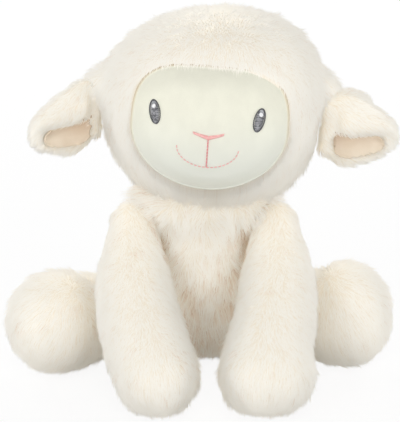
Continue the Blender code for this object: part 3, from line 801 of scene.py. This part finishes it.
def room_round(skins):
    """For each vertex of each skin: how open it lies, from 0 to 1, and how far the next thing in front of it is."""
    corners = []
    faces = []
    for skin in skins.values():
        shift = len(corners)
        corners.extend(vertex.co.copy() for vertex in skin.data.vertices)
        faces.extend([shift + i for i in face.vertices] for face in skin.data.polygons)
    tree = BVHTree.FromPolygons(corners, faces)
    others = {}
    for body, skin in skins.items():
        places = places_of(skin.data)
        others[body] = tree_of(skin), places.min(0), places.max(0)
    count = 10
    golden_turn = 2.39996
    rays = []
    for step in range(count):
        rise = 1 - (step + 0.5) / count * 0.9
        turn = step * golden_turn
        flat = math.sqrt(1 - rise * rise)
        rays.append((flat * math.cos(turn), flat * math.sin(turn), rise))
    reach = 60 * MM

    def free(start, direction, limit, grounded=False):
        """How far a ray runs before it meets a skin, or the ground too."""
        hit = tree.ray_cast(start, direction, limit)[3]
        run = limit if hit is None else hit
        if grounded and direction.z < -1e-6:
            run = min(run, -start.z / direction.z)
        return run

    def buried(body, place):
        """Whether a place lies inside another body's skin."""
        for other, (other_tree, low, high) in others.items():
            if other != body and (low < place).all() and (place < high).all():
                near, normal, _, _ = other_tree.find_nearest(place)
                if (Vector(place) - near).dot(normal) < 0.5 * MM:
                    return True
        return False

    found = {}
    for body, skin in skins.items():
        table = np.empty((len(skin.data.vertices), 2))
        for index, vertex in enumerate(skin.data.vertices):
            if buried(body, np.array(vertex.co)):
                table[index] = 0, 0
                continue
            normal = vertex.normal
            start = vertex.co + normal * MM
            wide = normal.orthogonal().normalized()
            deep = normal.cross(wide)
            clear = 0
            for x, y, z in rays:
                clear += free(start, wide * x + deep * y + normal * z, reach) >= reach * 0.98
            table[index] = clear / count, free(start, normal, 30 * MM, True) + MM
        found[body] = table
    return found


class Surface:
    """A skin as arrays of triangles, to set strands on."""

    def __init__(self, skin, table):
        mesh = skin.data
        mesh.calc_loop_triangles()
        triangles = triples(mesh.loop_triangles, "vertices", np.int32)
        self.corners = places_of(mesh)[triangles]
        self.normals = triples(mesh.vertex_normals, "vector")[triangles].astype(float)
        self.table = table[triangles]
        sides = self.corners[:, 1:] - self.corners[:, :1]
        self.area = np.linalg.norm(np.cross(sides[:, 0], sides[:, 1]), axis=1) / 2

    def roots(self, density, rng):
        """Evenly spread places with their normals, openness and room: fewer where the skin is hidden."""
        open_share = self.table[:, :, 0].mean(1)
        weight = self.area * density * (HIDDEN_SHARE + (1 - HIDDEN_SHARE) * np.clip(open_share / OPEN_SHARE, 0, 1))
        weight[(self.table[:, :, 1].mean(1) < LEAST_ROOM) | (open_share < LEAST_OPEN)] = 0
        total = weight.sum()
        count = int(total)
        marks = (np.arange(count) + rng.random(count)) * (total / count)
        chosen = np.searchsorted(np.cumsum(weight), marks).clip(max=len(weight) - 1)
        share = rng.random((2, count))
        over = share.sum(0) > 1
        share[:, over] = 1 - share[:, over]
        mix = np.stack([1 - share.sum(0), share[0], share[1]], 1)[:, :, None]
        place = (self.corners[chosen] * mix).sum(1)
        normal = unit((self.normals[chosen] * mix).sum(1))
        table = (self.table[chosen] * mix).sum(1)
        return place, normal, table[:, 0], table[:, 1]


def in_face(places):
    """Places in the frame of the face, with how far out each lies."""
    local = (places - FACE_ORIGIN) @ FACE_AXES
    return local, how_far_out(local[:, 0], local[:, 2])


def clear_of_face(places):
    """Lifts what lies in the velour onto its front."""
    local, out = in_face(places)
    half = FACE_HALF + 0.45 * MM
    share = 1 - (local[:, 0] / half[0]) ** 2 - (local[:, 2] / half[2]) ** 2
    fall = SEAM_FALL * np.clip((out - SEAM_START) / (1 - SEAM_START), 0, 1) ** 2
    front = fall - half[1] * np.sqrt(np.maximum(share, 0))
    inside = (out < 1) & (local[:, 1] < 0) & (local[:, 1] > front)
    local[inside, 1] = front[inside]
    return local @ FACE_AXES.T + FACE_ORIGIN


def strand_mesh(name, root, middle, tip, normal, tone_and_shade):
    """Closed tapered strands: three corners at the root, three at the middle and a tip."""
    count = len(root)
    ahead = unit(middle - root)
    wide = unit(np.cross(ahead, normal))
    high = np.cross(wide, ahead)
    bend = unit(tip - root)
    high_bend = np.cross(wide, bend)
    places = np.empty((count, 7, 3))
    for corner in range(3):
        turn = 2 * math.pi * corner / 3 + math.pi / 2
        places[:, corner] = root + (wide * math.cos(turn) + high * math.sin(turn)) * STRAND_RADIUS
        places[:, corner + 3] = middle + (wide * math.cos(turn) + high_bend * math.sin(turn)) * STRAND_RADIUS * 0.9
    places[:, 6] = tip
    places[:, :, 2] = np.maximum(places[:, :, 2], GROUND_CLEAR)
    pattern = [0, 1, 2]
    sizes = [3]
    for corner in range(3):
        after = (corner + 1) % 3
        pattern += [after, corner, corner + 3, after + 3]
        sizes.append(4)
    for corner in range(3):
        pattern += [(corner + 1) % 3 + 3, corner + 3, 6]
        sizes.append(3)
    loops = (np.array(pattern)[None] + 7 * np.arange(count)[:, None]).ravel()
    starts = np.concatenate([[0], np.cumsum(sizes)[:-1]])
    mesh = bpy.data.meshes.new(name)
    mesh.vertices.add(7 * count)
    mesh.vertices.foreach_set("co", places.astype(np.float32).ravel())
    mesh.loops.add(len(loops))
    mesh.loops.foreach_set("vertex_index", loops.astype(np.int32))
    mesh.polygons.add(len(sizes) * count)
    polygon_starts = (starts[None] + len(pattern) * np.arange(count)[:, None]).ravel()
    mesh.polygons.foreach_set("loop_start", polygon_starts.astype(np.int32))
    mesh.update(calc_edges=True)
    mesh.shade_smooth()
    lit = np.repeat(normal[:, None], len(pattern), 1)
    lit[:, 7:11] -= UNDER_SHARE * high[:, None]
    lit[:, 18:21] -= UNDER_SHARE * high_bend[:, None]
    mesh.normals_split_custom_set(unit(lit.reshape(-1, 3)).tolist())
    corner_u = np.array([-1, 0, 1, -1, 0, 1, 0]) * 0.006
    corner_v = np.array([0.02, 0.03, 0.02, 0.52, 0.53, 0.52, 0.98])
    uv = np.empty((count, len(pattern), 2))
    # The map's X carries the strand's tone with its painted shade
    uv[:, :, 0] = np.clip(tone_and_shade, 0.01, 0.99)[:, None] + corner_u[pattern][None]
    uv[:, :, 1] = corner_v[pattern][None]
    mesh.uv_layers.new(name="OFBake").uv.foreach_set("vector", uv.astype(np.float32).ravel())
    return mesh


def laid_on(normal, direction):
    """The direction with what points out of the skin taken away."""
    return unit(direction - (direction * normal).sum(1, keepdims=True) * normal)


def turned(normal, direction, turn):
    """The direction turned round the skin's normal."""
    return direction * np.cos(turn)[:, None] + np.cross(normal, direction) * np.sin(turn)[:, None]


def risen(normal, direction, rise):
    """The direction lifted off the skin."""
    return direction * np.cos(rise)[:, None] + normal * np.sin(rise)[:, None]


def share_within(values, start, reach):
    """0 up to the start, and 1 from the reach beyond it."""
    return np.clip((values - start) / reach, 0, 1)


def grow(body, surface, names, density, length, comb, order, seed, skip=None, shape=None):
    """Sets the pile on a skin and splits it, by order, into pieces with these names.

    Real pile is so clear that light runs through it, so its strands leave the shading to the skins.
    """
    rng = np.random.default_rng(seed)
    place, normal, openness, room = surface.roots(density, rng)
    if skip is not None:
        kept = ~skip(place)
        place, normal, openness, room = (values[kept] for values in (place, normal, openness, room))
    count = len(place)
    direction = laid_on(normal, comb(place))
    swirl = 0.18 * ripple(place, 24 * MM, seed + 1) + 0.12 * ripple(place, 9 * MM, seed + 2)
    swirl += rng.normal(0, 0.16, count)
    direction = turned(normal, direction, swirl)
    long = length * (1 + rng.uniform(-0.2, 0.2, count) + 0.1 * ripple(place, 14 * MM, seed + 3))
    rise = 0.16 * ripple(place, 11 * MM, seed + 4) + rng.normal(0, 0.1, count)
    # Shorter and flatter where something lies close in front of the skin
    roomy = share_within(room, 3 * MM, 8 * MM)
    long *= 0.7 + 0.3 * roomy
    first = (FIRST_LIFT + rise) * (0.5 + 0.5 * roomy)
    last = (LAST_LIFT + 1.3 * rise) * (0.3 + 0.7 * roomy)
    if shape is not None:
        direction, long, first, last = shape(place, normal, direction, long, first, last)
    half = (long / 2)[:, None]
    to_middle = half * risen(normal, direction, first)
    to_tip = to_middle + half * risen(normal, direction, last)

    # Tufts: each strand leans to the nearest of some strands picked by chance
    spots = rng.permutation(count)[: max(1, int(surface.area.sum() / TUFT_SPACING ** 2))]
    tree = KDTree(len(spots))
    for index, spot in enumerate(spots):
        tree.insert(place[spot], index)
    tree.balance()
    near = spots[[tree.find(point)[1] for point in place]]
    pull = TUFT_PULL * rng.uniform(0.6, 1.4, count)[:, None]
    middle = place + to_middle
    tip = place + to_tip
    middle += 0.35 * pull * (place[near] + to_middle[near] - middle)
    tip += pull * (place[near] + to_tip[near] - tip)
    middle[:, 2] = np.maximum(middle[:, 2], 2 * GROUND_CLEAR)
    tip[:, 2] = np.maximum(tip[:, 2], GROUND_CLEAR)
    if body == "head":
        middle, tip = clear_of_face(middle), clear_of_face(tip)

    tuft_tone = rng.normal(0, 0.07, count)[near]
    tone_and_shade = 0.66 + tuft_tone + rng.normal(0, 0.12, count) + 0.08 * ripple(place, 26 * MM, seed + 5)
    # Painted shade: pile where the skin lies in a crease or half hidden turns tan
    tone_and_shade -= 0.8 * (1 - np.clip(openness / OPEN_UNSHADED.get(body, OPEN_LIMB_UNSHADED), 0, 1))
    # Painted shade: pile low on the belly's front turns tan
    if body == "torso":
        tone_and_shade -= 0.25 * share_within(-place[:, 2], -78 * MM, 45 * MM) * share_within(-place[:, 1], 0, 20 * MM)
    rank = np.argsort(order(place), kind="stable")
    shares = np.array_split(rank, len(names))
    for name, chosen in zip(names, shares):
        if len(chosen) > MOST_STRANDS:
            raise ValueError(f"{name} has {len(chosen)} strands, more than a piece may have")
        mesh = strand_mesh(name, place[chosen], middle[chosen], tip[chosen], normal[chosen], tone_and_shade[chosen])
        piece = dress(linked(name, mesh), "pile", "plush", body)
        piece.visible_shadow = False
        piece.visible_diffuse = False
    return count


def combed(down=1.0, out=0.0, centre=(0, 0, 0), along=None, along_share=0.0):
    """A combing: downwards, away from a centre, and along a limb, in these shares."""
    centre = np.array(centre)

    def comb(place):
        away = place - centre
        away[:, 2] = 0
        flow = unit(away) * out
        flow[:, 2] -= down
        if along is not None:
            flow += np.array(along) * along_share
        return flow

    return comb


def by(axis):
    return lambda place: place @ np.array(axis, float)


def grow_pile(skins, table):
    """The pile of every soft body but the neck."""
    surfaces = {body: Surface(skin, table[body]) for body, skin in skins.items()}
    total = 0

    head_middle = np.array(FACE @ -FACE_MIDDLE)
    crown = head_middle + np.array((8, 80, 0)) * MM

    def in_opening(place):
        local, out = in_face(place)
        return (out < 1.0) & (local[:, 1] < HOOD_FRONT)

    def fringe(place, normal, direction, long, first, last):
        """Combed to the face's edge, short at the brow, upright at the top, and long and tousled under the cheeks."""
        local, out = in_face(place)
        close = np.clip((1.2 - out) / 0.16, 0, 1) * (local[:, 1] < HOOD_FRONT)
        upper = close * np.clip(local[:, 2] / (18 * MM) + 0.3, 0, 1)
        inward = unit(local * (-1, 0, -1)) @ FACE_AXES.T
        direction = laid_on(normal, direction + inward * (0.45 * close - 0.1 * upper)[:, None])
        height = place[:, 2] - head_middle[2]
        under = share_within(-height, 28 * MM, 20 * MM)
        fluff = share_within(height, 0, 30 * MM) * (0.2 + 0.8 * np.abs(normal[:, 0])) * (1 - close)
        long = long * (1 + 0.12 * close - 0.3 * upper + 0.45 * under + 0.12 * fluff)
        turn = under * (0.5 * ripple(place, 18 * MM, 130) + 0.3 * ripple(place, 9 * MM, 131))
        direction = turned(normal, direction, turn)
        lift = 0.25 * under + 0.3 * fluff + 0.3 * (close - upper)
        return direction, long, first + lift, last + lift

    total += grow(
        "head", surfaces["head"],
        ["head_pile_back_left", "head_pile_left", "head_pile_front", "head_pile_right", "head_pile_back_right"],
        1.15e6, 9.3 * MM, combed(1, 0.55, crown),
        lambda place: np.arctan2(place[:, 0] - head_middle[0], head_middle[1] - place[:, 1]),
        100, in_opening, fringe,
    )

    def off_edge(place):
        local, out = in_face(place)
        return (out < 1.0) | (out > 1.09) | (local[:, 1] > HOOD_FRONT)

    total += grow(
        "head", surfaces["head"], ["face_fringe"], 1.3e6, 9.5 * MM, combed(1, 0.55, crown), by((0, 0, 1)),
        150, off_edge, fringe,
    )

    def ruff(place, normal, direction, long, first, last):
        """Long, upright and tousled round the neck and on the chest, so that the pile closes up to the head."""
        high = share_within(place[:, 2], 98 * MM, 20 * MM)
        chest = share_within(place[:, 2], 62 * MM, 20 * MM) * share_within(-place[:, 1], 0, 20 * MM)
        turn = chest * (0.75 * ripple(place, 20 * MM, 230) + 0.45 * ripple(place, 9 * MM, 231))
        direction = turned(normal, direction, turn)
        long = long * (1 + 0.3 * high + 0.15 * chest + 0.15 * chest * ripple(place, 12 * MM, 232))
        return direction, long, first + 0.3 * high + 0.1 * chest, last + 0.3 * high + 0.15 * chest

    total += grow(
        "torso", surfaces["torso"], ["torso_pile_front", "torso_pile_back"],
        0.95e6, 9.5 * MM, combed(1, 0.25), by((0, 1, 0)), 200, None, ruff,
    )
    total += grow(
        "tail", surfaces["tail"], ["tail_pile"], 1.1e6, 8.5 * MM,
        combed(0.5, 0, (0, 0, 0), (0, 1, -0.6), 1), by((0, 1, 0)), 400,
    )
    for number, (side, sign) in enumerate(SIDES):
        shoulder = np.array(JOINT_PLACE[f"arm_{side}_lift"])
        paw = np.array(PAWS[side]) * MM
        reach = (paw - shoulder) / np.linalg.norm(paw - shoulder)

        def sleek(place, normal, direction, long, first, last):
            """Short and flat at the shoulder."""
            near = np.clip(1.6 - np.linalg.norm(place - shoulder, axis=1) / (28 * MM), 0, 1)
            return direction, long * (1 - 0.25 * near), first * (1 - 0.4 * near), last * (1 - 0.6 * near)

        total += grow(
            f"arm_{side}", surfaces[f"arm_{side}"], [f"arm_{side}_pile_outer", f"arm_{side}_pile_inner"],
            1.1e6, 9.3 * MM, combed(0.3, 0.1, paw, reach, 1), by((-sign, 0, 0)), 500 + 50 * number, None, sleek,
        )
        hip = np.array(JOINT_PLACE[f"leg_{side}_splay"])
        foot = np.array(FEET[side]) * MM
        reach = (foot - hip) / np.linalg.norm(foot - hip)
        total += grow(
            f"leg_{side}", surfaces[f"leg_{side}"], [f"leg_{side}_pile_front", f"leg_{side}_pile_back"],
            0.95e6, 9.3 * MM, combed(0.9, 0.1, foot, reach, 0.55), by((0, 1, 0)), 600 + 50 * number,
        )
        lining_tree = tree_of(bpy.data.objects[f"ear_{side}_velour"])

        def in_pocket(place):
            return np.array([lining_tree.find_nearest(Vector(p), POCKET_EDGE)[0] is not None for p in place])

        def lipped(place, normal, direction, long, first, last):
            """Combed towards the lining where the pile borders on it, and flatter all over the ear."""
            found = [lining_tree.find_nearest(Vector(p)) for p in place]
            close = np.clip(1 - np.array([hit[3] for hit in found]) / (5 * MM), 0, 1)
            toward = unit(np.array([hit[0] for hit in found]) - place)
            direction = laid_on(normal, direction + toward * (0.9 * close)[:, None])
            return direction, long, 0.85 * first, 0.7 * last

        hinge = np.array(JOINT_PLACE[f"ear_{side}_swing"])
        ear = places_of(skins[f"ear_{side}"].data)
        tip = ear[np.argmax(((ear - hinge) ** 2).sum(1))]
        reach = (tip - hinge) / np.linalg.norm(tip - hinge)
        total += grow(
            f"ear_{side}", surfaces[f"ear_{side}"], [f"ear_{side}_pile"], 1.5e6, 6 * MM,
            combed(0.55, 0, hinge, reach, 1), by((0, 1, 0)), 700 + 50 * number, in_pocket, lipped,
        )
    print("strands", total)


def finish_inner_nodes():
    """The closing thread keeps its CAD form."""
    node = frame["nodes"]["neck_closing_thread"]
    for place in node.material_slots:
        place.material = FINISHES["thread"]


def make_stage():
    """A pale floor that keeps a faint shadow, soft lamps and the camera."""
    bpy.ops.object.select_all(action="DESELECT")
    bpy.ops.mesh.primitive_plane_add(size=6)
    floor = bpy.context.object
    floor.name = "floor"
    finish = Finish("floor_paper", 0.9)
    finish.feed("Base Color", (0.9, 0.9, 0.9, 1))
    glow = finish.node("ShaderNodeEmission", None, {"Color": (1, 1, 1, 1), "Strength": 1.0})
    rays = finish.node("ShaderNodeLightPath", output="Is Camera Ray")
    paper = Wire(finish, finish.shader.outputs[0])
    mixed = finish.node("ShaderNodeMixShader", None, {0: rays * FLOOR_GLOW, 1: paper, 2: glow})
    output = finish.tree.nodes["Material Output"]
    finish.tree.links.new(mixed.socket, output.inputs["Surface"])
    floor.data.materials.append(finish.material)

    world = bpy.data.worlds.new("studio")
    bpy.context.scene.world = world
    world.use_nodes = True
    nodes = world.node_tree.nodes
    soft, white = nodes["Background"], nodes.new("ShaderNodeBackground")
    for light, strength in ((soft, WORLD_STRENGTH), (white, 1)):
        light.inputs["Color"].default_value = (1, 1, 1, 1)
        light.inputs["Strength"].default_value = strength
    path, seen, mix = (nodes.new(f"ShaderNode{kind}") for kind in ("LightPath", "Math", "MixShader"))
    seen.operation = "MAXIMUM"
    for output, socket in (
        (path.outputs["Is Camera Ray"], seen.inputs[0]),
        (path.outputs["Is Glossy Ray"], seen.inputs[1]),
        (seen.outputs[0], mix.inputs[0]),
        (soft.outputs[0], mix.inputs[1]),
        (white.outputs[0], mix.inputs[2]),
        (mix.outputs[0], nodes["World Output"].inputs["Surface"]),
    ):
        world.node_tree.links.new(output, socket)

    middle = Vector((0, -0.02, 0.11))
    for name, round_about, height, share in LAMPS:
        lamp = bpy.data.lights.new(name, "AREA")
        lamp.shape = "DISK"
        lamp.size = LAMP_SIZE
        lamp.energy = share * (math.pi * LAMP_DISTANCE) ** 2
        item = linked(name, lamp)
        turn, rise = math.radians(round_about), math.radians(height)
        away = Vector((math.sin(turn) * math.cos(rise), -math.cos(turn) * math.cos(rise), math.sin(rise)))
        item.location = middle + away * LAMP_DISTANCE
        item.rotation_euler = away.to_track_quat("Z", "Y").to_euler()
        item.visible_camera = False

    lens = bpy.data.cameras.new("camera")
    lens.lens = 155.0
    lens.sensor_width = 36
    lens.clip_start = 0.05
    lens.clip_end = 20
    camera = linked("camera", lens)
    back = Vector((0, -math.cos(CAMERA_TILT), math.sin(CAMERA_TILT)))
    camera.location = CAMERA_AIM + back * CAMERA_DISTANCE
    camera.rotation_euler = (math.pi / 2 - CAMERA_TILT, 0, 0)
    bpy.context.scene.camera = camera
    bpy.context.scene.view_settings.view_transform = "Standard"


FLOOR_GLOW = 0.88           # how much of the white paper the camera sees in place of its shading
WORLD_STRENGTH = 0.26
CAMERA_AIM = Vector((-0.00275, -0.012, 0.107))
CAMERA_DISTANCE = 1.25
CAMERA_TILT = math.radians(17.5)
LAMP_DISTANCE = 1.9
LAMP_SIZE = 0.9
# Each lamp's direction round the sheep from the front, its height, and its share of a plain level of light
LAMPS = (
    ("front_left_lamp", -35, 14, 0.27),
    ("front_right_lamp", 35, 14, 0.24),
    ("left_lamp", -95, 12, 0.23),
    ("right_lamp", 95, 12, 0.22),
    ("back_left_lamp", -155, 28, 0.29),
    ("back_right_lamp", 155, 28, 0.28),
    ("top_lamp", 0, 55, 0.29),
)


skins = make_skins()
make_fillings()
make_face()
make_eyes()
make_nose()
make_mouth()
make_linings()
grow_pile(skins, room_round(skins))
finish_inner_nodes()
make_stage()
